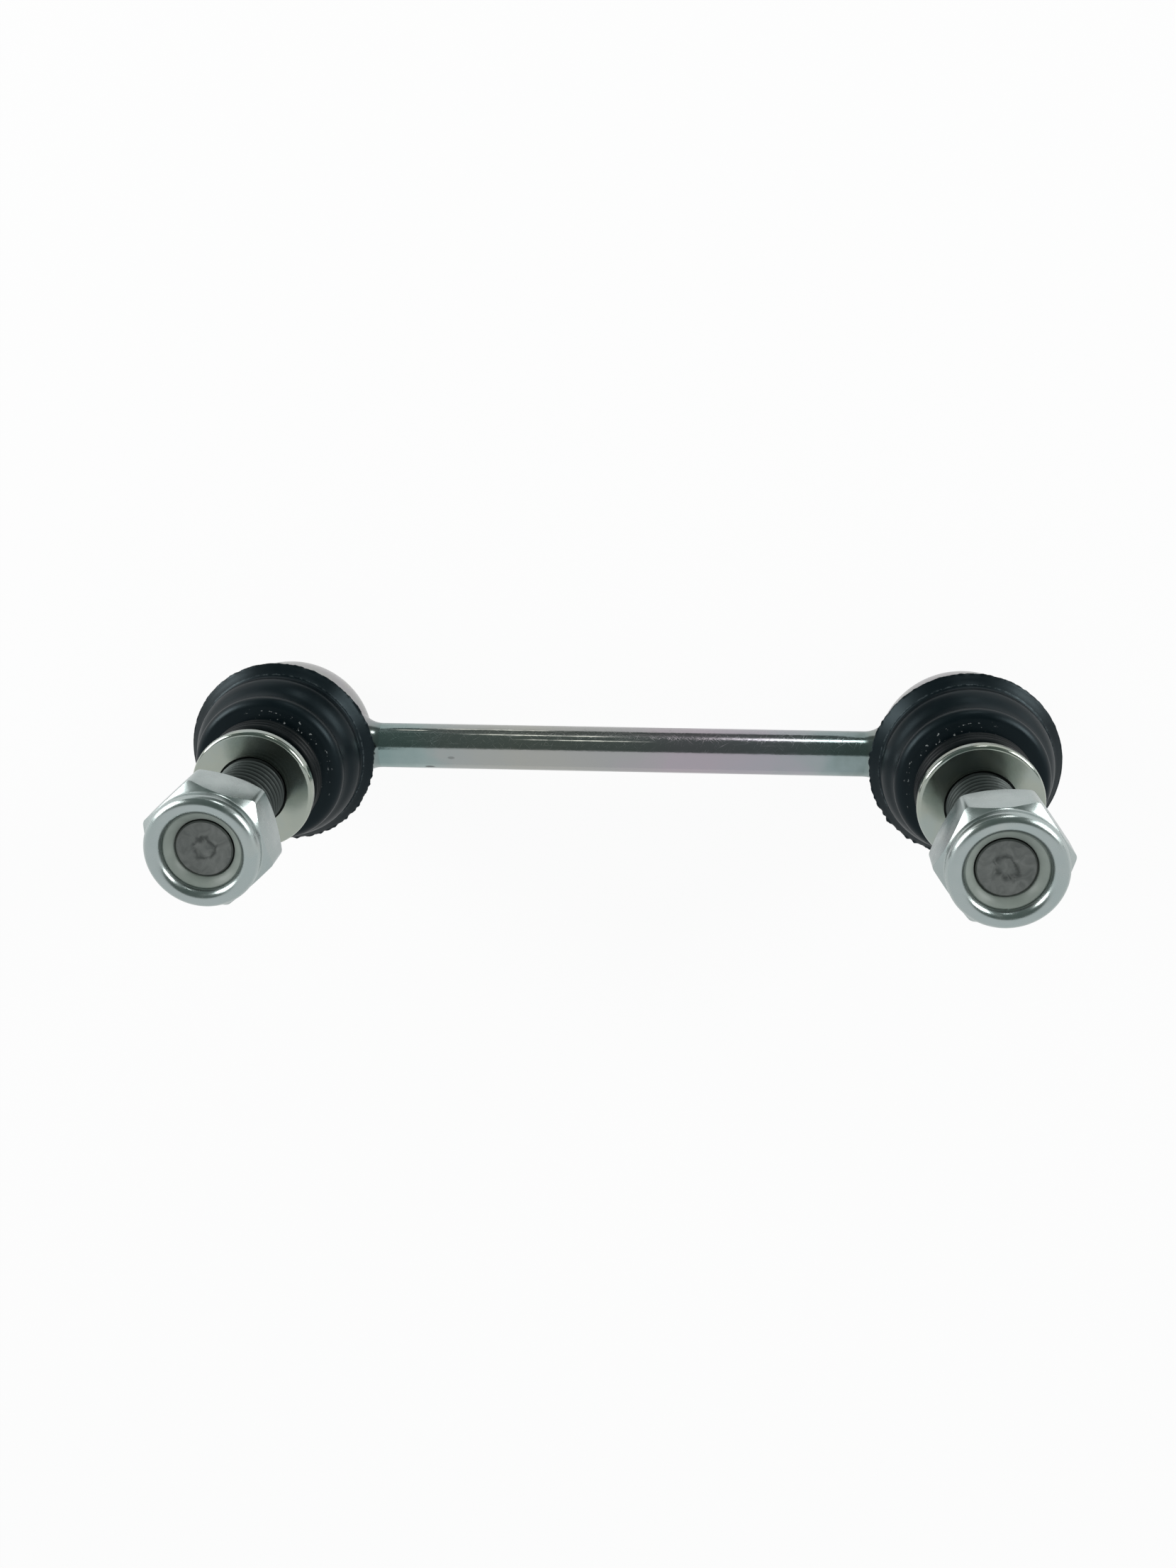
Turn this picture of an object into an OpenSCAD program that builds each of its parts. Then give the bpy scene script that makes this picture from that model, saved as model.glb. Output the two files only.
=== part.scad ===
// Stabilizer link: a plated rod with a ball joint at each end, both studs pointing up.
// Each ball joint is a housing closed by a rolled-in cover, with a plastic liner round the ball,
// a rubber dust boot held by two rings, and a threaded stud with a washer and a lock nut.
// The origin is midway between the studs, on the plane that the backs of the housings stand on.

/* [Link] */
// Distance between the two stud axes
centre_distance = 105; // [96:1:140]
// Diameter of the rod
rod_d = 7; // [6:0.25:8]
// Radius of the blend from the rod into each housing
rod_blend = 4; // [3:0.25:5]
// How far the blend reaches out from the housing
blend_reach = 2.1; // [1.5:0.1:3]

/* [Ball joint] */
// Diameter of the ball at the foot of the stud
ball_d = 14.5; // [14:0.25:15.5]
// Wall of the plastic liner round the ball
liner_wall = 1.5; // [1.2:0.1:2]
// Thickness of the liner under the ball
liner_floor = 1.45; // [1:0.05:2]
// How far the liner wraps the ball above its equator
liner_catch = 2.2; // [1.5:0.1:3]
// Play round the ball, in the liner and under the stud
running_gap = 0.05; // [0.03:0.01:0.1]
// Largest tilt of the stud that the mouth of the housing leaves free, in degrees
swing = 26; // [20:1:28]
// Room between the mouth and the neck of the stud at that tilt
mouth_gap = 0.25; // [0.15:0.05:0.4]

/* [Housing] */
// Wall of the housing round the liner at its widest
housing_wall = 3.95; // [3.5:0.05:4.5]
// Radius of the rounded back of the housing, in section
bowl_r = 12.5; // [12:0.5:16]
// Drop from the rod axis to where the rounded back begins
bowl_drop = 1; // [0:0.25:2]
// Step from the rounded back in to the rolled rim
rim_step = 0.4; // [0.2:0.05:0.8]
// Wall that is rolled over the end cover
rim_wall = 1.25; // [1:0.05:1.5]
// Thickness of the rolled rim
rim_t = 0.9; // [0.7:0.1:1.2]
// How far the rim reaches in over the end cover
rim_reach = 1.2; // [0.8:0.1:2]
// Thickness of the end cover
cover_t = 1.5; // [1:0.1:2]
// Diameter of the dimple pressed into the end cover
dimple_d = 9; // [6:0.5:12]
// Depth of that dimple
dimple_depth = 0.5; // [0.3:0.1:0.8]
// Step from the side of the housing in to the seat of the boot
boot_step = 0.9; // [0.5:0.1:1.5]
// Height of the seat of the boot
boot_seat_h = 2.5; // [2.4:0.1:3]
// Thickness of the lip that holds the liner down
mouth_lip = 1.5; // [1.2:0.1:1.8]
// Height of the boot's seat above the top of the rod
shoulder_rise = 0.25; // [0.1:0.05:0.5]

/* [Stud] */
// Diameter of the neck above the ball
neck_d = 9; // [8:0.25:9.5]
// Height of the neck's top above the ball centre
neck_top = 10; // [9:0.25:11]
// Diameter of the barrel that the boot grips
barrel_d = 12.6; // [12:0.2:14]
// Height of the cone between neck and barrel
cone_h = 3; // [2:0.25:4]
// Height of the washer's shoulder above the ball centre
shoulder_h = 20.4; // [19.5:0.1:22]
// Thread diameter
thread_d = 10; // [9.5:0.25:10.5]
// Length from the shoulder to the end of the thread
thread_l = 22.9; // [20:0.1:28]
// Diameter of the relief groove at the foot of the thread
relief_d = 8.6; // [8:0.2:9]
// Bare thread left off beside the washer and beside the nut
grip_margin = 0.4; // [0.3:0.1:1]
// Radial step from the bare thread to the thread under the nut
engaged_step = 0.2; // [0.2:0.05:0.3]
// Height of the chamfer at the end of the thread
tip_chamfer = 0.9; // [0.5:0.1:1.2]
// Length of the plain pilot beyond the thread
pilot_l = 1.9; // [1:0.1:2.5]

/* [Washer] */
// Outer diameter of the washer
washer_d = 18; // [17:0.25:21]
// Play of the washer on the thread, on the radius
washer_play = 0.25; // [0.2:0.05:0.5]
// Thickness of the washer
washer_t = 2; // [1.9:0.05:2.5]
// Radius of the washer's rounded edge
washer_round = 0.6; // [0.3:0.1:0.9]

/* [Lock nut] */
// Width across the flats
nut_flats = 16; // [15.5:0.5:17]
// Height of the nut
nut_h = 9.75; // [9.5:0.25:11]
// Height of the hexagon, with its chamfers
hex_h = 7; // [6.6:0.1:7.4]
// Slope of the hexagon's chamfers, in degrees
hex_chamfer = 45; // [30:5:55]
// Step from the flats in to the bearing face, on the radius
bearing_step = 0.2; // [0.1:0.05:0.4]
// Step from the flats in to the round crown, on the radius
crown_step = 0.1; // [0.05:0.05:0.3]
// Wall of the crown round the insert
crown_wall = 1.1; // [0.9:0.05:1.2]
// Radius of the crown's rolled edge, in section
crown_roll = 1.22; // [1.1:0.02:1.4]
// Play between the thread and the bore of the nut, on the radius
thread_gap = 0.05; // [0.03:0.01:0.1]
// How far the left nut is turned, in degrees
left_nut_turn = 42; // [0:1:60]
// How far the right nut is turned, in degrees
right_nut_turn = 6; // [0:1:60]
// Thickness of the nylon insert
insert_t = 2.6; // [2:0.1:3]
// Bore of the nylon insert
insert_bore = 8.3; // [8:0.1:9]
// Play between the pilot of the stud and the insert, on the radius
pilot_gap = 0.25; // [0.1:0.05:0.5]
// Gap left between the end of the thread and the insert
tip_gap = 0.1; // [0.05:0.05:0.5]

/* [Dust boot] */
// Diameter of the lip
lip_d = 28.8; // [28.2:0.1:31]
// Height of the lip above the rod axis
lip_h = 4.5; // [4.4:0.05:5]
// Thickness of the lip at its edge
lip_edge = 0.5; // [0.3:0.1:0.8]
// Thickness of the folded rubber wall
boot_wall = 1.2; // [0.9:0.1:1.3]
// Wall of the boot's neck round the barrel
neck_wall = 1.2; // [1.1:0.05:1.5]
// Play between the neck of the boot and the barrel, on the radius
boot_gap = 0.05; // [0.03:0.01:0.1]
// Gap between the top of the boot and the washer
boot_top_gap = 0.2; // [0.1:0.05:0.4]
// Thickness of the flange that tops the neck
boot_flange = 1.8; // [1.2:0.1:2.4]
// Thickness of the lower ring, inside the foot of the boot
lower_ring_t = 0.5; // [0.4:0.1:0.6]
// Height of the lower ring
lower_ring_h = 1.4; // [1:0.1:1.5]
// Wire diameter of the upper ring
wire_d = 1.2; // [1:0.05:1.3]
// Turns of wire in the upper ring
wire_turns = 3; // [2:1:3]
// Depth to which each turn of wire beds into the next
wire_bed = 0.05; // [0.03:0.01:0.12]

/* [Hidden] */
$fn = 96;
left = -1;
right = 1;
nut_sides = 6;

// Overrun of a cutting tool past the faces it opens
over = 1;

// Radii, from the ball outward
ball_r = ball_d / 2;
rod_r = rod_d / 2;
socket_r = ball_r + running_gap;
liner_r = socket_r + liner_wall;
rim_r = liner_r + rim_wall;
housing_r = liner_r + housing_wall;
boot_seat_r = housing_r - boot_step;
neck_r = neck_d / 2;
barrel_r = barrel_d / 2;
thread_r = thread_d / 2;
nut_bore_r = thread_r + thread_gap;
crown_r = nut_flats / 2 - crown_step;
insert_r = crown_r - crown_wall;
lip_r = lip_d / 2;
boot_neck_r = barrel_r + boot_gap;
boot_neck_outer_r = boot_neck_r + neck_wall;

// Heights, from the plane the housings stand on
liner_z = rim_t + cover_t;
ball_z = liner_z + liner_floor + socket_r;
boot_seat_z = ball_z + rod_r + shoulder_rise;
housing_top_z = boot_seat_z + boot_seat_h;
liner_top_z = housing_top_z - mouth_lip;
lip_z = ball_z + lip_h;
washer_z = ball_z + shoulder_h;
thread_end_z = washer_z + thread_l;
crown_roll_z = nut_h - crown_roll;
insert_z = crown_roll_z - insert_t;
nut_z = thread_end_z + tip_gap - insert_z;
bare_thread_z = washer_z + washer_t + grip_margin;
engaged_thread_z = nut_z - grip_margin;
boot_top_z = washer_z - boot_top_gap;
lower_ring_z = boot_seat_z + (boot_seat_h - lower_ring_h) / 2;
wire_pitch = wire_d - wire_bed;
upper_ring_h = wire_d + (wire_turns - 1) * wire_pitch;
upper_ring_z = boot_top_z - boot_flange - upper_ring_h;

// Reach of the shank from the stud axis to the face that meets the rod
shank_reach = housing_r + blend_reach;
// Radius at which the blend ends on the side of the housing, as a share of its arc
blend_share = 0.45;
blend_end_r = rod_r + rod_blend * blend_share;

// Radius that the neck sweeps at height h above the ball centre, with room to spare
function mouth_r(h) = (neck_r + h * sin(swing)) / cos(swing) + mouth_gap;

// One coordinate of a curve through b and c, with a and d its neighbours
function bend(a, b, c, d, s) =
    (2 * b + (c - a) * s + (2 * a - 5 * b + 4 * c - d) * s * s + (3 * b - a - 3 * c + d) * s * s * s) / 2;

// Points of a smooth curve through the knots
curve_steps = 5;
function smooth(knots) = concat(
    [for (i = [0:len(knots) - 2], j = [0:curve_steps - 1])
        bend(knots[max(i - 1, 0)], knots[i], knots[i + 1], knots[min(i + 2, len(knots) - 1)],
             j / curve_steps)],
    [knots[len(knots) - 1]]);

// The same points moved to the left of the curve's direction
function shifted(points, distance) =
    [for (i = [0:len(points) - 1])
        let (ahead = points[min(i + 1, len(points) - 1)] - points[max(i - 1, 0)])
        points[i] + distance * [-ahead.y, ahead.x] / norm(ahead)];

// Knots of the boot's folds, as shares of the way from the neck out to the widest fold,
// and of the way from the lip up to the foot of the upper ring
fold_start = [[0.973, 0.135], [0.918, 0.202]];
folds = [
    [0.945, 0.3125], [0.864, 0.428], [0.718, 0.543], [0.645, 0.63], [0.691, 0.726],
    [0.673, 0.8125], [0.536, 0.885], [0.3, 0.909], [0.109, 0.933]
];
fold_r = boot_seat_r + boot_wall;
boot_rise = upper_ring_z - lip_z;
function fold_point(share) =
    [boot_neck_outer_r + share.x * (fold_r - boot_neck_outer_r), lip_z + share.y * boot_rise];

module at_end(side) {
    translate([side * centre_distance / 2, 0, 0]) children();
}

// What a round of radius r takes off the corner of a profile that points to +x and +y
module corner_waste(r) {
    difference() {
        translate([-r, -r]) square(r + over);
        translate([-r, -r]) circle(r);
    }
}

// Rod between the shanks of the two housings
module link_rod() {
    length = centre_distance - 2 * shank_reach;
    color("lightslategray")
        translate([-length / 2, 0, ball_z])
            rotate([0, 90, 0]) cylinder(h = length, r = rod_r);
}

// Section of the housing before it is bored: rolled rim, rounded back, side and boot seat
module housing_section() {
    side_z = ball_z - bowl_drop;
    bowl_in = bowl_r - (housing_r - rim_r - rim_step);
    bowl_foot_z = side_z - sqrt(bowl_r * bowl_r - bowl_in * bowl_in);
    difference() {
        square([rim_r, side_z]);
        translate([rim_r, 0]) mirror([0, 1]) corner_waste(rim_t);
    }
    intersection() {
        translate([housing_r - bowl_r, side_z]) circle(bowl_r);
        translate([0, bowl_foot_z]) square([housing_r, side_z - bowl_foot_z]);
    }
    translate([0, side_z]) square([housing_r, boot_seat_z - side_z]);
    translate([0, side_z]) square([boot_seat_r, housing_top_z - side_z]);
}

// Shank along +x from the housing to the rod, with its concave blend
module shank() {
    translate([0, 0, ball_z])
        rotate([0, 90, 0])
            rotate_extrude() {
                square([rod_r, shank_reach]);
                difference() {
                    square([blend_end_r, shank_reach]);
                    translate([rod_r + rod_blend, shank_reach]) circle(rod_blend);
                }
            }
}

// Housing: the shank is cut level with the boot's seat, then the joint is bored from the back
module housing() {
    mouth_h = liner_top_z - ball_z;
    color("silver")
        difference() {
            union() {
                rotate_extrude() housing_section();
                intersection() {
                    shank();
                    translate([0, 0, boot_seat_z / 2])
                        cube([2 * (shank_reach + over), 2 * housing_r, boot_seat_z], center = true);
                }
            }
            translate([0, 0, rim_t]) cylinder(h = liner_top_z - rim_t, r = liner_r);
            translate([0, 0, -over]) cylinder(h = rim_t + 2 * over, r = liner_r - rim_reach);
            translate([0, 0, liner_top_z - over])
                cylinder(h = mouth_lip + 2 * over,
                         r1 = mouth_r(mouth_h - over),
                         r2 = mouth_r(mouth_h + mouth_lip + over));
        }
}

// End cover: a disc with a pressed dimple, held by the rolled rim
module end_cover() {
    color("gainsboro")
        difference() {
            translate([0, 0, rim_t]) cylinder(h = cover_t, r = liner_r);
            translate([0, 0, rim_t - over]) cylinder(h = dimple_depth + over, d = dimple_d);
        }
}

// Liner: a cup that wraps the ball past its equator and flares above that to let the neck swing
module ball_liner() {
    catch_r = sqrt(socket_r * socket_r - liner_catch * liner_catch);
    flare_h = liner_top_z - ball_z;
    flare_rise = flare_h - liner_catch;
    flare_slope = (mouth_r(flare_h) - catch_r) / flare_rise;
    color("ivory")
        difference() {
            translate([0, 0, liner_z]) cylinder(h = liner_top_z - liner_z, r = liner_r);
            translate([0, 0, ball_z]) sphere(socket_r);
            translate([0, 0, ball_z + liner_catch])
                cylinder(
                    h = flare_rise + over,
                    r1 = catch_r,
                    r2 = catch_r + flare_slope * (flare_rise + over)
                );
        }
}

module ball() {
    color("dimgray") translate([0, 0, ball_z]) sphere(ball_r);
}

// Section of the stud from the ball centre up: neck, cone, barrel, relief, both threads and pilot
module stud_section() {
    engaged_r = thread_r - engaged_step;
    pilot_r = insert_bore / 2 - pilot_gap;
    pilot_end_z = thread_end_z + pilot_l;
    cone_z = ball_z + neck_top;
    polygon([
        [0, ball_z],
        [neck_r, ball_z],
        [neck_r, cone_z],
        [barrel_r, cone_z + cone_h],
        [barrel_r, washer_z],
        [relief_d / 2, washer_z],
        [relief_d / 2, bare_thread_z],
        [thread_r, bare_thread_z],
        [thread_r, engaged_thread_z],
        [engaged_r, engaged_thread_z],
        [engaged_r, thread_end_z - tip_chamfer],
        [pilot_r, thread_end_z],
        [pilot_r, pilot_end_z],
        [0, pilot_end_z]
    ]);
}

// Stud: its foot is hollowed to sit on the ball
module stud() {
    color("darkslategray")
        difference() {
            rotate_extrude() stud_section();
            translate([0, 0, ball_z]) sphere(socket_r);
        }
}

// Dust boot: a foot with a thin lip, two folds of even wall, and a neck with a top flange
module dust_boot() {
    foot_r = (boot_seat_r + lip_r) / 2;
    foot = [
        [foot_r, boot_seat_z],
        [lip_r, lip_z - lip_edge / 2],
        [lip_r, lip_z + lip_edge / 2]
    ];
    start = [for (k = fold_start) fold_point(k)];
    fold = [for (k = folds) fold_point(k)];
    neck_foot = [boot_neck_outer_r, upper_ring_z];
    outside = smooth(concat(start, fold, [neck_foot]));
    inside = smooth(shifted(fold, boot_wall));
    flange_r = boot_neck_outer_r + wire_d / 2;
    color("black")
        difference() {
            rotate_extrude()
                polygon(concat(
                    [[boot_seat_r, boot_seat_z]],
                    foot,
                    outside,
                    [
                        [boot_neck_outer_r, boot_top_z - boot_flange],
                        [flange_r, boot_top_z - boot_flange],
                        [flange_r, boot_top_z],
                        [boot_neck_r, boot_top_z],
                        [boot_neck_r, upper_ring_z]
                    ],
                    [for (i = [len(inside) - 1:-1:0]) inside[i]],
                    [[boot_seat_r, housing_top_z]]));
            translate([0, 0, lower_ring_z]) cylinder(h = lower_ring_h, r = boot_seat_r + lower_ring_t);
        }
}

// Steel band between the foot of the boot and its seat on the housing
module boot_lower_ring() {
    color("slategray")
        rotate_extrude()
            translate([boot_seat_r, lower_ring_z]) square([lower_ring_t, lower_ring_h]);
}

// Turns of black spring wire round the neck of the boot
module boot_upper_ring() {
    color("black")
        rotate_extrude()
            for (i = [0:wire_turns - 1])
                translate([boot_neck_outer_r + wire_d / 2, upper_ring_z + wire_d / 2 + i * wire_pitch])
                    circle(d = wire_d);
}

module washer() {
    hole_r = thread_r + washer_play;
    edge_r = washer_d / 2;
    color("silver")
        translate([0, 0, washer_z])
            rotate_extrude()
                difference() {
                    translate([hole_r, 0]) square([edge_r - hole_r, washer_t]);
                    translate([edge_r, washer_t]) corner_waste(washer_round);
                    translate([edge_r, 0]) mirror([0, 1]) corner_waste(washer_round);
                }
}

// Lock nut: a hexagon chamfered at both ends by cones, with a round crown rolled in over the insert
module lock_nut(turn) {
    corner_r = nut_flats / 2 / cos(180 / nut_sides);
    bearing_r = nut_flats / 2 - bearing_step;
    cone_spread = hex_h / tan(hex_chamfer);
    crown_foot_z = hex_h / 2;
    color("gainsboro")
        translate([0, 0, nut_z])
            difference() {
                union() {
                    intersection() {
                        rotate([0, 0, turn]) cylinder(h = hex_h, r = corner_r, $fn = nut_sides);
                        cylinder(h = hex_h, r1 = bearing_r, r2 = bearing_r + cone_spread);
                        cylinder(h = hex_h, r1 = crown_r + cone_spread, r2 = crown_r);
                    }
                    translate([0, 0, crown_foot_z]) cylinder(h = crown_roll_z - crown_foot_z, r = crown_r);
                    translate([0, 0, crown_roll_z])
                        rotate_extrude() translate([crown_r - crown_roll, 0]) circle(crown_roll);
                }
                translate([0, 0, -over]) cylinder(h = nut_h + 2 * over, r = nut_bore_r);
                translate([0, 0, insert_z]) cylinder(h = insert_t, r = insert_r);
            }
}

module nut_insert() {
    color("whitesmoke")
        translate([0, 0, nut_z + insert_z])
            difference() {
                cylinder(h = insert_t, r = insert_r);
                translate([0, 0, -over]) cylinder(h = insert_t + 2 * over, d = insert_bore);
            }
}

link_rod();
at_end(left) housing();  // left_housing
at_end(right) mirror([1, 0, 0]) housing();  // right_housing
at_end(left) end_cover();  // left_end_cover
at_end(right) end_cover();  // right_end_cover
at_end(left) ball_liner();  // left_ball_liner
at_end(right) ball_liner();  // right_ball_liner
at_end(left) ball();  // left_ball
at_end(right) ball();  // right_ball
at_end(left) stud();  // left_stud
at_end(right) stud();  // right_stud
at_end(left) dust_boot();  // left_dust_boot
at_end(right) dust_boot();  // right_dust_boot
at_end(left) boot_lower_ring();  // left_boot_lower_ring
at_end(right) boot_lower_ring();  // right_boot_lower_ring
at_end(left) boot_upper_ring();  // left_boot_upper_ring
at_end(right) boot_upper_ring();  // right_boot_upper_ring
at_end(left) washer();  // left_washer
at_end(right) washer();  // right_washer
at_end(left) lock_nut(left_nut_turn);  // left_lock_nut
at_end(right) lock_nut(right_nut_turn);  // right_lock_nut
at_end(left) nut_insert();  // left_nut_insert
at_end(right) nut_insert();  // right_nut_insert
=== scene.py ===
import math

import bpy
from mathutils import Matrix, Vector


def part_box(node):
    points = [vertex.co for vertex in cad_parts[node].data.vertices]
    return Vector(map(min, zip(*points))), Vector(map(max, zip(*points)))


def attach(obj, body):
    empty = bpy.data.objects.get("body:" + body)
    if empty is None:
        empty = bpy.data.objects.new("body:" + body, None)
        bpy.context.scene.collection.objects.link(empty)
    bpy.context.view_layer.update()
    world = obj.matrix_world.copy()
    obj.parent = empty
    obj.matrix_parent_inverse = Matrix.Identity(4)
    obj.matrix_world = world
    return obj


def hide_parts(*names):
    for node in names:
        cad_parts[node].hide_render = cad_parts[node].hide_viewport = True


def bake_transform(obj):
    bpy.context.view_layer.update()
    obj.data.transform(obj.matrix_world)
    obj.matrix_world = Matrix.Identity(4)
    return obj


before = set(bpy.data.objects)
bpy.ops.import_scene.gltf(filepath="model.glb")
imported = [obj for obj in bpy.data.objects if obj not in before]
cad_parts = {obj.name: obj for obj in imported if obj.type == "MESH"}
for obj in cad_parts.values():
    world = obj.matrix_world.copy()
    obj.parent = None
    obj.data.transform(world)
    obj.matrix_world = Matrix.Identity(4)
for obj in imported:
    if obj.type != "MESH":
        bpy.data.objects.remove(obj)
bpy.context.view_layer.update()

# Camera: a hand-held shot from above, looking down on the studs at a slant. Its place, lens and turn
# were fitted to the round lips, washers and nuts of the photograph.
mm = 0.001
lens_data = bpy.data.cameras.new("photo_camera")
lens_data.sensor_width = 36
lens_data.lens = 37.44
lens_data.clip_start = 0.01
camera = bpy.data.objects.new("photo_camera", lens_data)
bpy.context.scene.collection.objects.link(camera)
lens_place = Vector((16.41, 80.28, 252.79)) * mm
looks_along = Vector((-0.0836, -0.3346, -0.9387)).normalized()
points_right = Vector((0.9963, -0.0087, -0.0857))
points_right = (points_right - looks_along * points_right.dot(looks_along)).normalized()
points_up = points_right.cross(looks_along)
held = Matrix((points_right, points_up, -looks_along)).transposed().to_4x4()
camera.matrix_world = Matrix.Translation(lens_place) @ held
bpy.context.scene.camera = camera
bpy.context.scene.view_settings.view_transform = "Standard"


# Floor: a sheet of white paper that the link lies on. It shows white to the camera, half as much to the
# plated metal, and keeps a soft share of the shadow.
def add_node(tree, kind, sockets, **settings):
    """Adds a shader node, makes its settings, and fills or links its sockets."""
    made = tree.nodes.new(kind)
    for name, value in settings.items():
        setattr(made, name, value)
    for socket, value in sockets.items():
        if isinstance(value, bpy.types.NodeSocket):
            tree.links.new(value, made.inputs[socket])
        else:
            made.inputs[socket].default_value = value
    return made


def reckon(tree, operation, *values):
    """Works out one sum from sockets or numbers."""
    return add_node(tree, "ShaderNodeMath", dict(enumerate(values)), operation=operation).outputs[0]


paper_width = 3.0
white_to_camera = 0.93
white_to_metal = 0.5
bpy.ops.object.select_all(action="DESELECT")
bpy.ops.mesh.primitive_plane_add(size=paper_width, location=(0, 0, 0))
floor = bpy.context.object
floor.name = floor.data.name = "white_paper"
paper = bpy.data.materials.new("white_paper")
paper.use_nodes = True
tree = paper.node_tree
tree.nodes.clear()
paper_matt = add_node(tree, "ShaderNodeBsdfDiffuse", {"Color": (0.86, 0.86, 0.86, 1)})
paper_white = add_node(tree, "ShaderNodeEmission", {"Color": (1, 1, 1, 1), "Strength": 1.0})
ray = add_node(tree, "ShaderNodeLightPath", {}).outputs
mirrored = reckon(tree, "MAXIMUM", ray["Is Glossy Ray"], ray["Is Transmission Ray"])
white_share = reckon(
    tree,
    "MAXIMUM",
    reckon(tree, "MULTIPLY", mirrored, white_to_metal),
    reckon(tree, "MULTIPLY", ray["Is Camera Ray"], white_to_camera),
)
paper_mix = add_node(
    tree,
    "ShaderNodeMixShader",
    {"Fac": white_share, 1: paper_matt.outputs[0], 2: paper_white.outputs[0]},
)
add_node(tree, "ShaderNodeOutputMaterial", {"Surface": paper_mix.outputs[0]})
floor.data.materials.append(paper)


# Light: a pale room on the near side and a dim one behind the lens, which draws the dark band along the
# rod. Two soft windows stand low at the far left and right, with a slit of light between them, and a
# dark card lies flat on the far side, where only the plated metal mirrors it.
def spread(tree, value, low, high, at_low=0.0, at_high=1.0):
    """Turns the range from low to high into at_low to at_high, held at both ends."""
    sockets = {"Value": value, "From Min": low, "From Max": high, "To Min": at_low, "To Max": at_high}
    return add_node(tree, "ShaderNodeMapRange", sockets).outputs["Result"]


def add_ramp(tree, value, stops):
    """Adds a colour ramp through stops of place and colour."""
    made = add_node(tree, "ShaderNodeValToRGB", {"Fac": value})
    elements = made.color_ramp.elements
    elements[0].position, elements[0].color = stops[0][0], (*stops[0][1], 1)
    elements[1].position, elements[1].color = stops[-1][0], (*stops[-1][1], 1)
    for place, colour in stops[1:-1]:
        elements.new(place).color = (*colour, 1)
    return made.outputs["Color"]


def lay_over(tree, share, ground, over):
    """Lays a colour over a ground colour, by a share from none to all."""
    sockets = {"Factor": share, "A": ground, "B": over}
    return add_node(tree, "ShaderNodeMix", sockets, data_type="RGBA").outputs["Result"]


room = bpy.data.worlds.new("pale_room")
bpy.context.scene.world = room
room.use_nodes = True
tree = room.node_tree
tree.nodes.clear()
pale_side = (0.74, 0.76, 0.77)
direction = add_node(tree, "ShaderNodeTexCoord", {}).outputs["Generated"]
across = add_node(tree, "ShaderNodeSeparateXYZ", {0: direction}).outputs["Y"]
room_tone = add_ramp(
    tree,
    spread(tree, across, -1, 1),
    [(0.0, pale_side), (0.545, pale_side), (0.575, (0.10, 0.125, 0.115)), (1.0, (0.12, 0.15, 0.14))],
)
room_ray = add_node(tree, "ShaderNodeLightPath", {}).outputs
room_seen = lay_over(tree, room_ray["Is Camera Ray"], room_tone, (1, 1, 1, 1))
room_light = add_node(tree, "ShaderNodeBackground", {"Color": room_seen})
add_node(tree, "ShaderNodeOutputWorld", {"Surface": room_light.outputs[0]})
lamp_aim = Vector((0, 0, 0.03))
for name, place, watts, width, height in (
    ("window_left", (-0.55, 0.30, 0.20), 2.6, 0.30, 0.30),
    ("window_right", (0.55, 0.34, 0.22), 2.6, 0.30, 0.30),
    ("far_slit", (0.100, 0.60, 0.070), 0.26, 0.12, 0.100),
):
    lamp_data = bpy.data.lights.new(name, "AREA")
    lamp_data.shape = "RECTANGLE"
    lamp_data.size = width
    lamp_data.size_y = height
    lamp_data.energy = watts
    lamp = bpy.data.objects.new(name, lamp_data)
    lamp.location = place
    lamp.rotation_euler = (lamp_aim - Vector(place)).to_track_quat("-Z", "Y").to_euler()
    bpy.context.scene.collection.objects.link(lamp)
bpy.ops.object.select_all(action="DESELECT")
bpy.ops.mesh.primitive_plane_add(size=1.0, location=(0, 0, 0))
dark_card = bpy.context.object
dark_card.name = dark_card.data.name = "dark_card"
card_corners = ((-0.040, 0.023), (0.035, 0.023), (-0.30, 0.62), (0.24, 0.62))
card_lift = 0.0005
for corner, flat_place in zip(dark_card.data.vertices, card_corners):
    corner.co = (*flat_place, card_lift)
card_black = bpy.data.materials.new("dark_card")
card_black.use_nodes = True
card_shader = card_black.node_tree.nodes["Principled BSDF"]
card_shader.inputs["Base Color"].default_value = (0.12, 0.14, 0.13, 1)
card_shader.inputs["Roughness"].default_value = 1.0
dark_card.data.materials.append(card_black)
for kind_of_ray in ("camera", "diffuse", "transmission", "volume_scatter", "shadow"):
    setattr(dark_card, f"visible_{kind_of_ray}", False)


# Rod: drawn steel bar, zinc plated and passivated, so its grey shifts to lavender, teal and straw,
# and painted shade darkens it towards both ends, under the boots.
# Drawing has left lines along it, painted bright as highlights, and handling has left scratches, a nick
# and a dent.
def new_finish(name):
    """Starts a finish: its material, its nodes, its shader and the place on the piece."""
    finish = bpy.data.materials.new(name)
    finish.use_nodes = True
    tree = finish.node_tree
    place = add_node(tree, "ShaderNodeTexCoord", {}).outputs["Object"]
    return finish, tree, tree.nodes["Principled BSDF"], place


def add_noise(tree, place, scale, detail=2, roughness=0.5, distortion=0):
    """Cloudy noise, with about as many clouds to the metre as the scale says."""
    sockets = {
        "Vector": place,
        "Scale": scale,
        "Detail": detail,
        "Roughness": roughness,
        "Distortion": distortion,
    }
    return add_node(tree, "ShaderNodeTexNoise", sockets).outputs["Fac"]


def add_relief(tree, shader, height, strength, depth):
    """Raises and sinks a finish by a height, to a depth in millimetres."""
    sockets = {"Height": height, "Strength": strength, "Distance": depth * mm}
    relief = add_node(tree, "ShaderNodeBump", sockets)
    tree.links.new(relief.outputs["Normal"], shader.inputs["Normal"])


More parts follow.
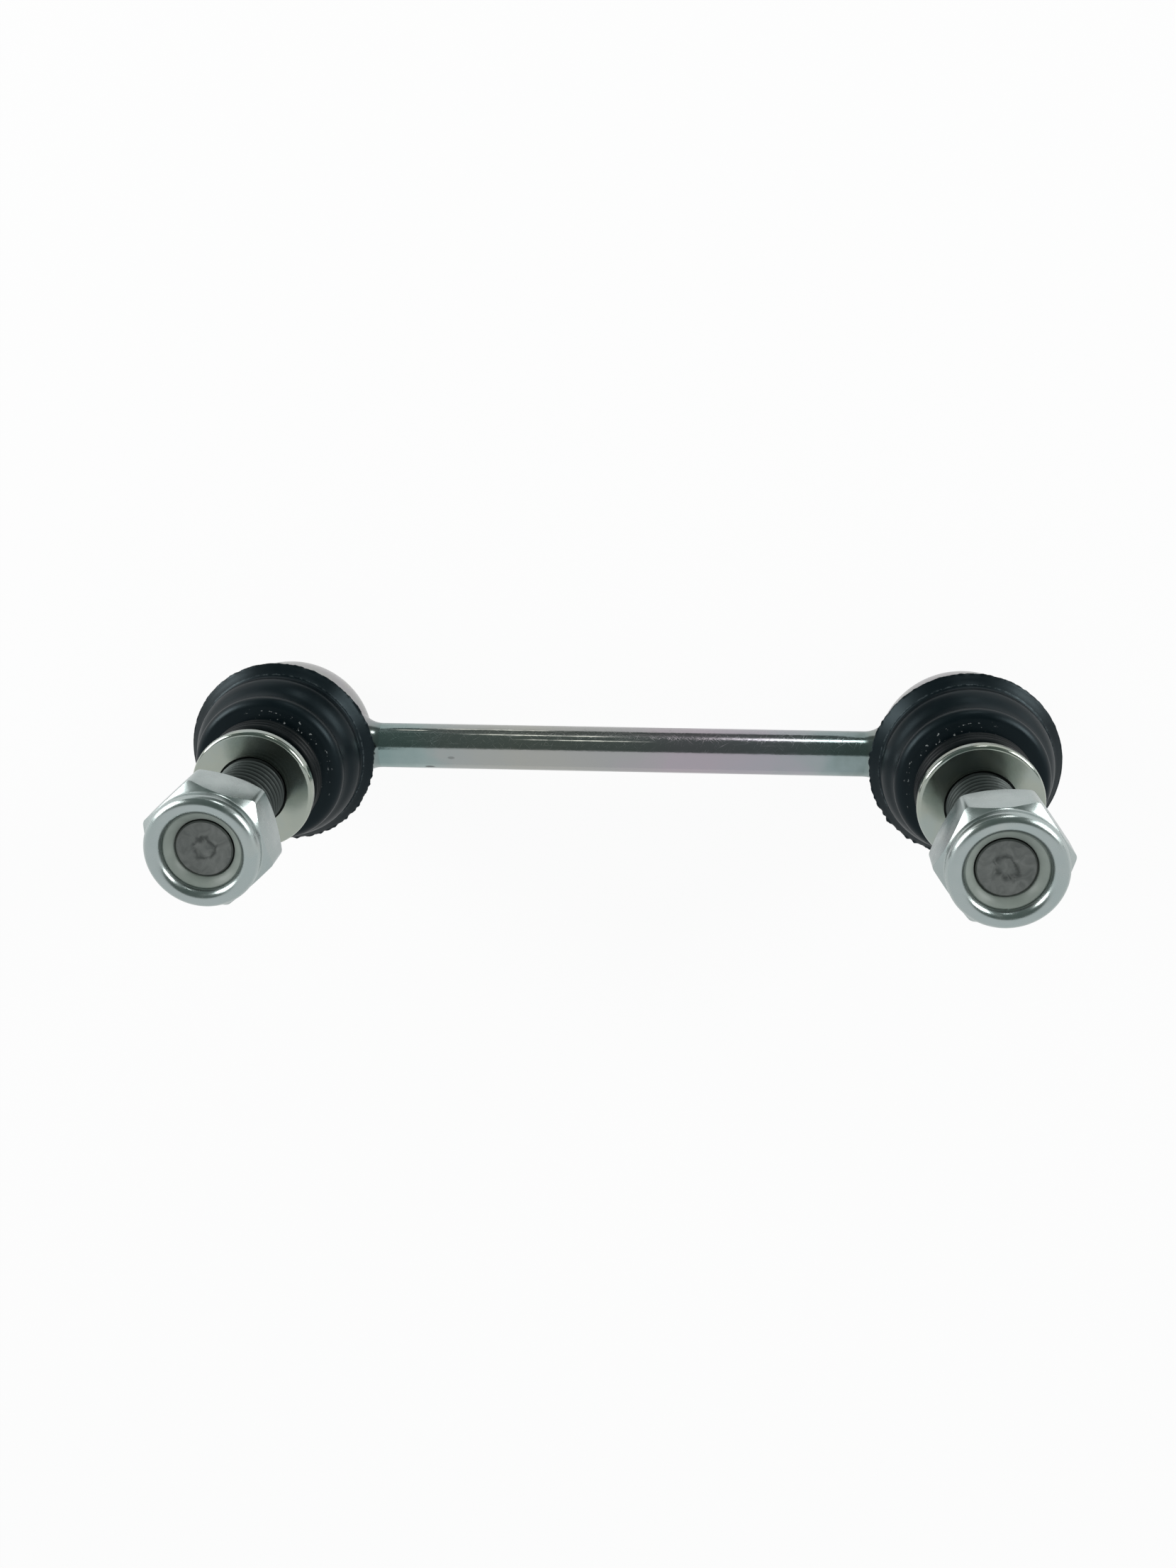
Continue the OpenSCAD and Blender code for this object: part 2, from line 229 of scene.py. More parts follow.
def plated_metal(name, roughness):
    """Starts a finish of plated steel, with its shine smeared over a millimetre or two."""
    finish, tree, shader, place = new_finish(name)
    shader.inputs["Metallic"].default_value = 1.0
    smear = add_noise(tree, place, scale=420, detail=6)
    shine = spread(tree, smear, 0.3, 0.7, at_low=roughness * 0.8, at_high=roughness * 1.25)
    tree.links.new(shine, shader.inputs["Roughness"])
    return finish, tree, shader, place


def dress(piece, finish):
    """Gives a piece one finish all over."""
    piece.data.materials.clear()
    piece.data.materials.append(finish)


rod_r = 3.5 * mm
rod_half = 37.65 * mm
rod_axis_z = 11.15 * mm
rod_plate, tree, shader, place = plated_metal("rod_zinc", roughness=0.13)
part = add_node(tree, "ShaderNodeSeparateXYZ", {0: place}).outputs
turn = reckon(tree, "ARCTAN2", part["Y"], reckon(tree, "SUBTRACT", part["Z"], rod_axis_z))
round_rod = reckon(tree, "MULTIPLY", turn, rod_r)
unrolled = add_node(tree, "ShaderNodeCombineXYZ", {"X": part["X"], "Y": round_rod}).outputs["Vector"]

# Tints from end to end, with edges that wander. The darker teal at both ends, under the boots, is painted
# shade.
tint_wander = 16 * mm
wander = add_noise(tree, unrolled, scale=170, detail=4)
wandered = reckon(tree, "MULTIPLY_ADD", wander, tint_wander, part["X"])
tint_and_end_shade = add_ramp(
    tree,
    spread(tree, wandered, tint_wander / 2 - rod_half, tint_wander / 2 + rod_half),
    [
        (0.00, (0.26, 0.35, 0.34)),
        (0.07, (0.33, 0.41, 0.40)),
        (0.16, (0.40, 0.42, 0.41)),
        (0.30, (0.43, 0.43, 0.40)),
        (0.50, (0.41, 0.41, 0.41)),
        (0.64, (0.45, 0.40, 0.44)),
        (0.80, (0.42, 0.40, 0.44)),
        (0.90, (0.36, 0.40, 0.41)),
        (0.95, (0.29, 0.36, 0.36)),
        (1.00, (0.22, 0.28, 0.27)),
    ],
)

# Painted highlights: bright glints along the lines from the drawing die, broken here and there.
line_half_turn = 0.020
glint_white = (0.95, 0.94, 0.84, 1)
all_glints = None
for line_turn, from_x, to_x in ((1.19, -32, -7), (0.90, -26, 2), (0.68, -17, 6), (1.08, -36, -29)):
    on_line = reckon(tree, "COMPARE", turn, line_turn, line_half_turn)
    middle_x, half = (from_x + to_x) / 2 * mm, (to_x - from_x) / 2 * mm
    away = reckon(tree, "ABSOLUTE", reckon(tree, "SUBTRACT", part["X"], middle_x))
    fade = spread(tree, away, half / 2, half, at_low=1.0, at_high=0.0)
    one_glint = reckon(tree, "MULTIPLY", on_line, fade)
    all_glints = one_glint if all_glints is None else reckon(tree, "MAXIMUM", one_glint, all_glints)
breaks = add_noise(tree, unrolled, scale=260, detail=6, roughness=0.7)
glint_lines = reckon(tree, "MULTIPLY", all_glints, spread(tree, breaks, 0.28, 0.60))
marked = lay_over(tree, glint_lines, tint_and_end_shade, glint_white)

# The nick and the dent, dark and drawn out along the rod.
spot_stretch = 0.45
spot_black = (0.035, 0.035, 0.035, 1)
for spot_x, spot_turn, reach, depth in ((-29.8, -0.88, 0.42, 0.85), (-26.2, -0.22, 0.30, 0.35)):
    shift = (-spot_x * mm * spot_stretch, -spot_turn * rod_r, 0)
    centred = add_node(
        tree,
        "ShaderNodeMapping",
        {"Vector": unrolled, "Location": shift, "Scale": (spot_stretch, 1, 1)},
    ).outputs["Vector"]
    far = add_node(tree, "ShaderNodeVectorMath", {0: centred}, operation="LENGTH").outputs["Value"]
    dent = spread(tree, far, reach * 0.6 * mm, reach * mm, at_low=depth, at_high=0.0)
    marked = lay_over(tree, dent, marked, spot_black)
tree.links.new(marked, shader.inputs["Base Color"])
# The painted glints are made less metallic, so that they show white.
line_metal = 0.25
tree.links.new(spread(tree, glint_lines, 0.0, 1.0, at_low=1.0, at_high=line_metal), shader.inputs["Metallic"])

# Scratches that dull the side on which it is handled.
scratches = glint_lines
for slant, length, width in ((0.5, 3.2, 0.15), (-0.75, 2.6, 0.13), (0.06, 7.0, 0.16), (1.2, 1.6, 0.14)):
    slanted = add_node(
        tree,
        "ShaderNodeMapping",
        {"Vector": unrolled, "Rotation": (0, 0, slant), "Scale": (length * mm, width * mm, 1)},
        vector_type="TEXTURE",
    ).outputs["Vector"]
    streak = add_noise(tree, slanted, scale=1.0)
    scratches = reckon(tree, "MAXIMUM", scratches, spread(tree, streak, 0.60, 0.78))
scuff = 0.36
handled = spread(tree, turn, 0.1, 0.5, at_high=scuff)
plain_shine = shader.inputs["Roughness"].links[0].from_socket
scuffed = reckon(tree, "MULTIPLY_ADD", scratches, handled, plain_shine)
tree.links.new(scuffed, shader.inputs["Roughness"])
hammered = add_noise(tree, unrolled, scale=1300, detail=5, roughness=0.6)
add_relief(tree, shader, hammered, strength=0.6, depth=0.02)
dress(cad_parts["link_rod"], rod_plate)


# Housings and end covers: forged steel cups, turned, plated with the rod, and closed at the back by
# a pressed disc that the rolled rim holds. Beside the weld, the neck keeps the rod's darker end tone,
# as painted shade under the boot.
def zinc_plate(name, tints, roughness, grain):
    """Passivated zinc: tints drift over some millimetres, and a fine grain breaks up the shine."""
    finish, tree, shader, place = plated_metal(name, roughness)
    stops = [(0.30 + 0.40 * i / (len(tints) - 1), tint) for i, tint in enumerate(tints)]
    drift = add_noise(tree, place, scale=130, detail=3)
    tree.links.new(add_ramp(tree, drift, stops), shader.inputs["Base Color"])
    fine = add_noise(tree, place, scale=5200, detail=3)
    add_relief(tree, shader, fine, strength=grain, depth=0.03)
    return finish


# Painted shade: the neck beside the weld, under the boot, is darkened to the rod's shaded end tone.
weld_x = 37.6 * mm
neck_end_x = 40.5 * mm
neck_shade_tint = (0.24, 0.31, 0.30, 1)
housing_plate = zinc_plate(
    "housing_zinc",
    ((0.36, 0.39, 0.38), (0.39, 0.39, 0.38), (0.40, 0.385, 0.40), (0.41, 0.40, 0.36)),
    roughness=0.17,
    grain=0.10,
)
tree = housing_plate.node_tree
shader = tree.nodes["Principled BSDF"]
place = add_node(tree, "ShaderNodeTexCoord", {}).outputs["Object"]
along_x = add_node(tree, "ShaderNodeSeparateXYZ", {0: place}).outputs["X"]
past_weld = spread(tree, reckon(tree, "ABSOLUTE", along_x), weld_x, neck_end_x)
plain_tint = shader.inputs["Base Color"].links[0].from_socket
tree.links.new(lay_over(tree, past_weld, neck_shade_tint, plain_tint), shader.inputs["Base Color"])
for node in ("left_housing", "right_housing", "left_end_cover", "right_end_cover"):
    dress(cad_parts[node], housing_plate)

# Ball liners and balls: a moulded cup of pale bearing plastic, and a ground steel ball greased in it.
# Both are shut in the housing.
liner_plastic, tree, shader, place = new_finish("liner_plastic")
shader.inputs["Roughness"].default_value = 0.45
cloud = add_noise(tree, place, scale=900)
liner_tone = add_ramp(tree, cloud, [(0.3, (0.70, 0.69, 0.64)), (0.7, (0.80, 0.79, 0.74))])
tree.links.new(liner_tone, shader.inputs["Base Color"])
ball_steel = zinc_plate(
    "ground_steel",
    ((0.5, 0.5, 0.5), (0.56, 0.56, 0.55), (0.52, 0.52, 0.53)),
    roughness=0.14,
    grain=0.05,
)
for side in ("left", "right"):
    dress(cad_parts[f"{side}_ball_liner"], liner_plastic)
    dress(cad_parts[f"{side}_ball"], ball_steel)

# Studs: cold-headed steel with a dark phosphate coat. The barrel carries the boot's neck, and a rolled
# M10 x 1.25 thread runs from the washer's seat to a plain pilot, whose end still shows heading marks.
stud_axis = {side: sum(c.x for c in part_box(f"{side}_stud")) / 2 for side in ("left", "right")}
ball_centre_z = 11.15
foot_r = 7.3
neck_r = 4.5
neck_top_z = 21.15
barrel_r = 6.3
barrel_low_z = 24.15
seat_z = 31.55
undercut_r = 4.2
undercut_top_z = 32.4
full_thread_z = 33.2
bolt_r = 5.0
thread_pitch = 1.25
thread_root_r = 4.16
thread_crest_r = 4.94
thread_end_z = 54.45
pilot_r = 3.95
pilot_end_z = 56.35


def spin_outline(name, axis_x, outline, closed=True, steps=160):
    """Draws an outline of radius and height, in millimetres, by extruding one point, and spins it."""
    bpy.ops.object.select_all(action="DESELECT")
    first_r, first_z = outline[0]
    bpy.ops.mesh.primitive_plane_add(size=mm, location=(axis_x + first_r * mm, 0, first_z * mm))
    piece = bpy.context.object
    piece.name = piece.data.name = name
    bpy.ops.object.mode_set(mode="EDIT")
    bpy.ops.mesh.select_mode(type="VERT")
    bpy.ops.mesh.select_all(action="SELECT")
    bpy.ops.mesh.merge(type="CENTER")
    ends = outline[1:] + outline[:1] if closed else outline[1:]
    for (r, z), (next_r, next_z) in zip(outline, ends):
        bpy.ops.mesh.extrude_vertices_move(
            TRANSFORM_OT_translate={"value": ((next_r - r) * mm, 0, (next_z - z) * mm)}
        )
    bpy.ops.mesh.select_all(action="SELECT")
    bpy.ops.mesh.remove_doubles(threshold=1e-6)
    bpy.ops.mesh.select_all(action="SELECT")
    bpy.ops.mesh.spin(steps=steps, angle=2 * math.pi, center=(axis_x, 0, 0), axis=(0, 0, 1))
    bpy.ops.mesh.select_all(action="SELECT")
    bpy.ops.mesh.remove_doubles(threshold=2e-6)
    bpy.ops.mesh.normals_make_consistent(inside=False)
    bpy.ops.object.mode_set(mode="OBJECT")
    bpy.ops.object.transform_apply(location=True, rotation=True, scale=True)
    return piece


def keep_common(piece, cutter):
    """Cuts a piece down to what it shares with a cutter, and removes the cutter."""
    bpy.ops.object.select_all(action="DESELECT")
    bpy.context.view_layer.objects.active = piece
    cut = piece.modifiers.new("cut", "BOOLEAN")
    cut.operation = "INTERSECT"
    cut.solver = "EXACT"
    cut.object = cutter
    bpy.ops.object.modifier_apply(modifier="cut")
    bpy.data.objects.remove(cutter)


def thread_blank(name, axis_x, low_z, turns):
    """One pitch of thread form, run up the axis by a screw and closed at both ends."""
    bpy.ops.object.select_all(action="DESELECT")
    bpy.ops.mesh.primitive_plane_add(size=mm, location=(axis_x, 0, low_z * mm))
    piece = bpy.context.object
    piece.name = piece.data.name = name
    bpy.ops.object.mode_set(mode="EDIT")
    bpy.ops.mesh.select_all(action="SELECT")
    bpy.ops.mesh.merge(type="CENTER")
    bpy.ops.transform.translate(value=(thread_root_r * mm, 0, 0))
    depth = thread_crest_r - thread_root_r
    for out, up in ((0, 0.20), (0.85, 0.28), (0.15, 0.08), (0, 0.08), (-0.15, 0.08), (-0.85, 0.28)):
        bpy.ops.mesh.extrude_vertices_move(
            TRANSFORM_OT_translate={"value": (out * depth * mm, 0, up * thread_pitch * mm)}
        )
    bpy.ops.object.mode_set(mode="OBJECT")
    screw = piece.modifiers.new("screw", "SCREW")
    screw.axis = "Z"
    screw.angle = 2 * math.pi
    screw.screw_offset = thread_pitch * mm
    screw.iterations = turns
    screw.steps = screw.render_steps = 72
    screw.use_merge_vertices = True
    screw.merge_threshold = 2e-6
    bpy.ops.object.modifier_apply(modifier="screw")
    middle_z = turns * thread_pitch / 2 * mm
    for at_top in (False, True):
        bpy.ops.object.mode_set(mode="EDIT")
        bpy.ops.mesh.select_mode(type="VERT")
        bpy.ops.mesh.select_all(action="SELECT")
        bpy.ops.mesh.remove_doubles(threshold=2e-6)
        bpy.ops.mesh.select_all(action="DESELECT")
        bpy.ops.mesh.select_non_manifold(extend=False)
        bpy.ops.object.mode_set(mode="OBJECT")
        for vertex in piece.data.vertices:
            vertex.select = vertex.select and (vertex.co.z > middle_z) == at_top
        for edge in piece.data.edges:
            edge.select = edge.select and all(piece.data.vertices[i].select for i in edge.vertices)
        bpy.ops.object.mode_set(mode="EDIT")
        bpy.ops.mesh.extrude_region_move(TRANSFORM_OT_translate={"value": (0, 0, 0)})
        bpy.ops.mesh.merge(type="CENTER")
        bpy.ops.mesh.select_all(action="SELECT")
        bpy.ops.mesh.normals_make_consistent(inside=False)
        bpy.ops.object.mode_set(mode="OBJECT")
    bpy.ops.object.transform_apply(location=True, rotation=True, scale=True)
    return piece


def from_stud_axis(tree, place):
    """Sockets for the level way out from the nearer stud's axis, the radius and the height."""
    part = add_node(tree, "ShaderNodeSeparateXYZ", {0: place}).outputs
    out_x = reckon(tree, "SUBTRACT", reckon(tree, "ABSOLUTE", part["X"]), stud_axis["right"])
    level = add_node(tree, "ShaderNodeCombineXYZ", {"X": out_x, "Y": part["Y"]}).outputs["Vector"]
    radius = add_node(tree, "ShaderNodeVectorMath", {0: level}, operation="LENGTH").outputs["Value"]
    return level, radius, part["Z"]


phosphate, tree, shader, place = new_finish("dark_phosphate")
shader.inputs["Metallic"].default_value = 0.55
level, radius, height = from_stud_axis(tree, place)

# Painted shade and highlight: the coat is painted black in the roots of the thread, as shade, and grey on
# the crests, as highlight.
root_shade_r = 4.25
crest_highlight_r = 4.95
thread_shade_and_highlight = add_ramp(
    tree,
    spread(tree, radius, root_shade_r * mm, crest_highlight_r * mm),
    [(0.0, (0.003, 0.006, 0.0055)), (0.55, (0.012, 0.017, 0.016)), (1.0, (0.065, 0.078, 0.074))],
)

# The end face is paler, with a strayed ring of dimples that hold grime.
cloud = add_noise(tree, place, scale=620, detail=6, distortion=1.2)
end_tone = add_ramp(
    tree,
    cloud,
    [(0.34, (0.125, 0.135, 0.128)), (0.52, (0.165, 0.175, 0.166)), (0.68, (0.20, 0.21, 0.20))],
)
dimple_ring_r = 2.6
dimple_stray = 2.4
dimple_black = (0.045, 0.05, 0.047, 1)
end_coat_z = 56.0
pock = add_noise(tree, place, scale=480, detail=4, distortion=0.6)
strayed = reckon(tree, "MULTIPLY_ADD", pock, dimple_stray * mm, radius)
ring_gap = reckon(tree, "ABSOLUTE", reckon(tree, "SUBTRACT", strayed, dimple_ring_r * mm))
dimple = spread(tree, ring_gap, 0.05 * mm, 0.6 * mm, at_low=1.0, at_high=0.0)
grime = reckon(tree, "MULTIPLY", dimple, spread(tree, cloud, 0.62, 0.42, at_high=0.8))
headed = lay_over(tree, grime, end_tone, dimple_black)
at_end = spread(tree, height, end_coat_z * mm, (end_coat_z + 0.2) * mm)
tree.links.new(lay_over(tree, at_end, thread_shade_and_highlight, headed), shader.inputs["Base Color"])
tree.links.new(spread(tree, cloud, 0.0, 1.0, at_low=0.36, at_high=0.56), shader.inputs["Roughness"])
heading = reckon(tree, "MULTIPLY_ADD", dimple, -0.8, cloud)
add_relief(tree, shader, heading, strength=0.5, depth=0.12)

# The thread is run below its seat and past its end, and cut back to the envelope.
thread_low_z = seat_z - 2.0
thread_turns = 23
foot_edge = math.asin(neck_r / foot_r)
foot_arc = [
    (foot_r * math.sin(foot_edge * i / 8), ball_centre_z + foot_r * math.cos(foot_edge * i / 8))
    for i in range(9)
]
for side, axis_x in stud_axis.items():
    thread = thread_blank(f"{side}_stud_thread", axis_x, thread_low_z, thread_turns)
    envelope = spin_outline(
        "thread_envelope",
        axis_x,
        [
            (0, seat_z),
            (undercut_r, seat_z),
            (undercut_r, undercut_top_z),
            (bolt_r, full_thread_z),
            (bolt_r, thread_end_z - 0.9),
            (pilot_r + 0.15, thread_end_z - 0.1),
            (pilot_r, thread_end_z + 0.1),
            (pilot_r, pilot_end_z - 0.2),
            (pilot_r - 0.2, pilot_end_z),
            (0, pilot_end_z - 0.05),
        ],
        closed=False,
        steps=96,
    )
    keep_common(thread, envelope)
    barrel = spin_outline(
        f"{side}_stud_barrel",
        axis_x,
        foot_arc
        + [
            (neck_r, neck_top_z),
            (barrel_r, barrel_low_z),
            (barrel_r, seat_z - 0.3),
            (barrel_r - 0.3, seat_z),
            (0, seat_z),
        ],
        closed=False,
        steps=96,
    )
    bpy.ops.object.select_all(action="DESELECT")
    barrel.select_set(True)
    thread.select_set(True)
    bpy.context.view_layer.objects.active = thread
    bpy.ops.object.join()
    thread.name = thread.data.name = f"{side}_threaded_stud"
    bpy.ops.object.shade_smooth_by_angle(angle=math.radians(35))
    dress(thread, phosphate)
    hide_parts(f"{side}_stud")
    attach(thread, f"{side}_stud")


# Dust boots: black moulded rubber bellows, pushed over the seat of the housing and the barrel of the
# stud. The mould has left a thin torn flash round the lip. Each is made as two halves that meet at the
# waist.
def curve_through(knots, steps=6):
    """Points of a smooth line through the knots, ends included."""
    points = []
    for i in range(len(knots) - 1):
        around = [knots[min(max(j, 0), len(knots) - 1)] for j in (i - 1, i, i + 1, i + 2)]
        for j in range(steps):
            s = j / steps
            point = []
            for p, q, r, t in zip(*around):
                bend = (2 * p - 5 * q + 4 * r - t) * s**2
                twist = (3 * q - p - 3 * r + t) * s**3
                point.append((2 * q + (r - p) * s + bend + twist) / 2)
            points.append(tuple(point))
    return points + [knots[-1]]


rubber, tree, shader, place = new_finish("boot_rubber")
shader.inputs["Specular IOR Level"].default_value = 0.22
shader.inputs["Specular Tint"].default_value = (0.70, 0.92, 1.0, 1)
level, radius, height = from_stud_axis(tree, place)


def band(radius_at, radius_reach, height_at, height_reach):
    """A belt round the stud's axis, by its middle and its reach each way, in millimetres."""
    near = reckon(tree, "COMPARE", radius, radius_at * mm, radius_reach * mm)
    level_with = reckon(tree, "COMPARE", height, height_at * mm, height_reach * mm)
    return reckon(tree, "MULTIPLY", near, level_with)


cloud = add_noise(tree, place, scale=260, detail=5)
rubber_tone = add_ramp(tree, cloud, [(0.35, (0.0012, 0.0036, 0.0052)), (0.70, (0.0030, 0.0062, 0.0080))])

# Dust in the crease above the lip.
crease_grey = (0.065, 0.08, 0.085, 1)
speck = spread(tree, add_noise(tree, place, scale=1500, detail=5, roughness=0.7), 0.46, 0.70)
crease = band(radius_at=13.0, radius_reach=0.09, height_at=17.0, height_reach=0.2)
crease_dust = reckon(tree, "MULTIPLY", crease, speck)
dusty = lay_over(tree, crease_dust, rubber_tone, crease_grey)

# Pale flecks round the shoulder, on the far side and towards the rod.
fleck_white = (0.34, 0.36, 0.36, 1)
fleck_stretch = 5.0
level_part = add_node(tree, "ShaderNodeSeparateXYZ", {0: level}).outputs
bearing = reckon(tree, "ARCTAN2", level_part["Y"], level_part["X"])
round_neck = reckon(tree, "MULTIPLY", bearing, fleck_stretch * mm)
ringed = add_node(tree, "ShaderNodeCombineXYZ", {"X": radius, "Y": round_neck, "Z": height})
fleck = spread(tree, add_noise(tree, ringed.outputs["Vector"], scale=3100), 0.66, 0.74)
dusty_way = (-0.08 / mm, 0.07 / mm, 0)
way_round = add_node(tree, "ShaderNodeVectorMath", {0: level, 1: dusty_way}, operation="DOT_PRODUCT")
dusty_side = spread(tree, way_round.outputs["Value"], 0.3, 0.8)
shoulder = band(radius_at=8.9, radius_reach=1.2, height_at=25.3, height_reach=1.1)
on_shoulder = reckon(tree, "MULTIPLY", shoulder, dusty_side)
fleck_dust = reckon(tree, "MULTIPLY", on_shoulder, fleck)
tree.links.new(lay_over(tree, fleck_dust, dusty, fleck_white), shader.inputs["Base Color"])
tree.links.new(spread(tree, cloud, 0.0, 1.0, at_low=0.28, at_high=0.46), shader.inputs["Roughness"])
rubber_grain = add_noise(tree, place, scale=3600, detail=3)
add_relief(tree, shader, rubber_grain, strength=0.12, depth=0.05)

waist = (11.10, 22.20)
waist_inside = (10.20, 22.13)
foot = [(11.90, 14.95), (13.10, 14.96), (14.00, 15.32), (14.18, 15.45), (14.38, 15.54), (14.38, 15.66)]
lip_top = [(14.20, 15.78), (14.02, 15.98), (13.60, 16.38), (13.16, 16.80)]
crease_bead = [(13.06, 16.93), (12.97, 17.02), (12.86, 17.07), (12.75, 17.18), (12.66, 17.42)]
lower_outside = curve_through([(12.60, 17.75), (12.75, 18.90), (12.30, 20.10), (11.50, 21.30), waist])
lower_inside = curve_through(
    [waist_inside, (10.72, 20.70), (11.34, 19.55), (11.66, 18.48), (11.90, 17.42)]
)
ring_groove = [(11.90, 16.90), (12.40, 16.90), (12.40, 15.40), (11.90, 15.40)]
upper_outside = curve_through(
    [waist, (11.35, 23.20), (11.25, 24.10), (10.50, 24.85), (9.20, 25.10), (8.15, 25.35), (7.55, 26.05)]
)
upper_inside = curve_through(
    [
        (6.37, 26.05),
        (7.20, 25.00),
        (8.25, 24.30),
        (9.15, 24.02),
        (10.02, 23.84),
        (10.36, 23.40),
        waist_inside,
    ]
)
neck = [(7.55, 29.50), (8.05, 29.56), (8.15, 29.66), (8.15, 31.20), (8.05, 31.30), (6.37, 31.33)]
lip_edge_r = 14.3
flash_all_round = 0.12
flash_far_side = 0.6
torn_rod_side = 0.75
torn_far_side = 0.45
for side, axis_x in stud_axis.items():
    lower = spin_outline(
        f"{side}_boot_lower",
        axis_x,
        foot + lip_top + crease_bead + lower_outside + lower_inside + ring_groove,
        steps=420,
    )
    upper = spin_outline(
        f"{side}_boot_upper", axis_x, upper_outside + neck + upper_inside[:-1], steps=192
    )
    # Flash stands out round the lip, and is torn where the rod passes under it.
    rod_way = 1 if axis_x < 0 else -1
    flash = lower.vertex_groups.new(name="flash")
    torn = lower.vertex_groups.new(name="torn")
    for vertex in lower.data.vertices:
        reach = math.hypot(vertex.co.x - axis_x, vertex.co.y)
        if reach > lip_edge_r * mm:
            towards_rod = (vertex.co.x - axis_x) / reach * rod_way
            far_side = vertex.co.y / reach
            flash_share = flash_all_round + flash_far_side * max(0.0, far_side)
            torn_share = max(0.0, torn_rod_side * towards_rod - torn_far_side * far_side)
            flash.add([vertex.index], flash_share, "REPLACE")
            torn.add([vertex.index], torn_share, "REPLACE")
    bpy.ops.object.select_all(action="DESELECT")
    bpy.context.view_layer.objects.active = lower
    for group, size, strength, middle in (("flash", 0.55, 0.34, 0.52), ("torn", 0.85, 0.85, 0.50)):
        tear = bpy.data.textures.new(f"{side}_{group}", "CLOUDS")
        tear.noise_scale = size * mm
        tear.noise_depth = 1
        push = lower.modifiers.new(group, "DISPLACE")
        push.texture = tear
        push.texture_coords = "LOCAL"
        push.vertex_group = group
        push.strength = strength * mm
        push.mid_level = middle
        bpy.ops.object.modifier_apply(modifier=group)
    for half, a, b, start_z, end_z in (
        (lower, "link", f"{side}_ball", 17.2, 22.0),
        (upper, f"{side}_ball", f"{side}_neck", 24.0, 26.05),
    ):
        bpy.ops.object.select_all(action="DESELECT")
        half.select_set(True)
        bpy.context.view_layer.objects.active = half
        bpy.ops.object.shade_smooth_by_angle(angle=math.radians(50))
        dress(half, rubber)
        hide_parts(f"{side}_dust_boot")
        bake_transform(half)

# Boot rings: a plain steel band inside the foot of each boot, out of sight, and three close turns of
# black spring wire that grip its neck on the barrel.
ring_black, tree, shader, place = new_finish("ring_black")
shader.inputs["Roughness"].default_value = 0.40
shader.inputs["Specular IOR Level"].default_value = 0.16
cloud = add_noise(tree, place, scale=800)
ring_tone = add_ramp(tree, cloud, [(0.3, (0.0016, 0.0036, 0.0045)), (0.7, (0.0050, 0.0078, 0.0086))])
tree.links.new(ring_tone, shader.inputs["Base Color"])
for side in ("left", "right"):
    dress(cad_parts[f"{side}_boot_lower_ring"], ring_black)
    dress(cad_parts[f"{side}_boot_upper_ring"], ring_black)

# Washers: blanked from sheet, tumbled until their edges are round, and zinc plated a little warmer
# than the rod.
washer_plate = zinc_plate(
    "washer_zinc",
    ((0.38, 0.42, 0.37), (0.43, 0.46, 0.40), (0.40, 0.45, 0.42), (0.45, 0.46, 0.38)),
    roughness=0.15,
    grain=0.10,
)
for side in ("left", "right"):
    dress(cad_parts[f"{side}_washer"], washer_plate)

# Lock nuts: cold-formed hexagons with a crown that is rolled in over the insert, zinc plated and
# satin. A cone chamfers the corners at both ends.
nut_plate = zinc_plate(
    "nut_zinc",
    ((0.42, 0.48, 0.47), (0.45, 0.50, 0.49), (0.43, 0.49, 0.48), (0.47, 0.51, 0.49)),
    roughness=0.26,
    grain=0.06,
)
nut_z = 48.62
across_flats = 16
corner_r = across_flats / math.sqrt(3)
corner_round = 0.45
edge_round = 0.22
blank_height = 14
blank_middle_z = 5
crown_r = 7.9
roll_r = 1.22
roll_z = 8.53
insert_seat_r = 6.8
insert_seat_z = 5.95
bore_crest_r = 5.06
bore_root_r = 5.5
bore_thread = []
for low_z in (0.55 + thread_pitch * i for i in range(4)):
    bore_thread += [
        (bore_crest_r, low_z),
        (bore_crest_r, low_z + 0.17),
        (bore_root_r, low_z + 0.57),
        (bore_root_r, low_z + 0.75),
    ]
roll = [
    (crown_r - roll_r + roll_r * math.cos(math.radians(a)), roll_z + roll_r * math.sin(math.radians(a)))
    for a in range(-10, 206, 9)
]
nut_outline = (
    [(5.7, 0.0), (7.8, 0.0), (9.7, 1.9), (9.7, 5.2), (7.98, 6.92), (7.84, 7.06), (7.76, 7.25), (7.78, 7.9)]
    + roll
    + [(insert_seat_r, 7.96), (insert_seat_r, insert_seat_z), (bore_crest_r, insert_seat_z)]
    + bore_thread[::-1]
)
